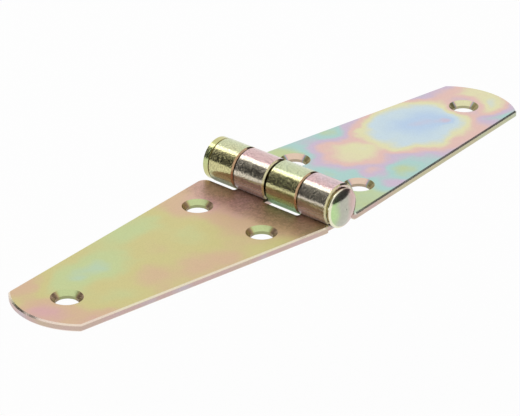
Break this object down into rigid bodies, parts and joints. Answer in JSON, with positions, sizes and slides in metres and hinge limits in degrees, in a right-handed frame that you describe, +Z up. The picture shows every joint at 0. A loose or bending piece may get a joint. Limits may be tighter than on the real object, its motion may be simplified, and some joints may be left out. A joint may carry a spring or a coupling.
{
  "type": "triangle hinge",
  "caption": "Flat strap hinge with two tapered, screw-on leaves that swing on a riveted pin in rolled knuckles.",
  "frame": {"origin": "on the mounting plane, under the middle of the pin", "axes": "+X along the leaves towards the right leaf's tip, Y along the pin with its domed head at -Y, +Z up out of the countersunk faces"},
  "size_m": [0.18, 0.0456, 0.012],
  "materials": {
    "leaf_plating": "iridescent yellow zinc plating, satin",
    "pin_plating": "iridescent yellow zinc plating, satin"
  },
  "bodies": {
    "fixed_leaf": {"left_leaf": "leaf_plating", "hinge_pin": "pin_plating"},
    "moving_leaf": {"right_leaf": "leaf_plating"}
  },
  "joints": [
    {"name": "leaf_swing", "type": "hinge", "parent": "fixed_leaf", "child": "moving_leaf", "pos_m": [0, 0, 0.006], "axis": [0, -1, 0], "range_deg": [-70, 184]}
  ]
}
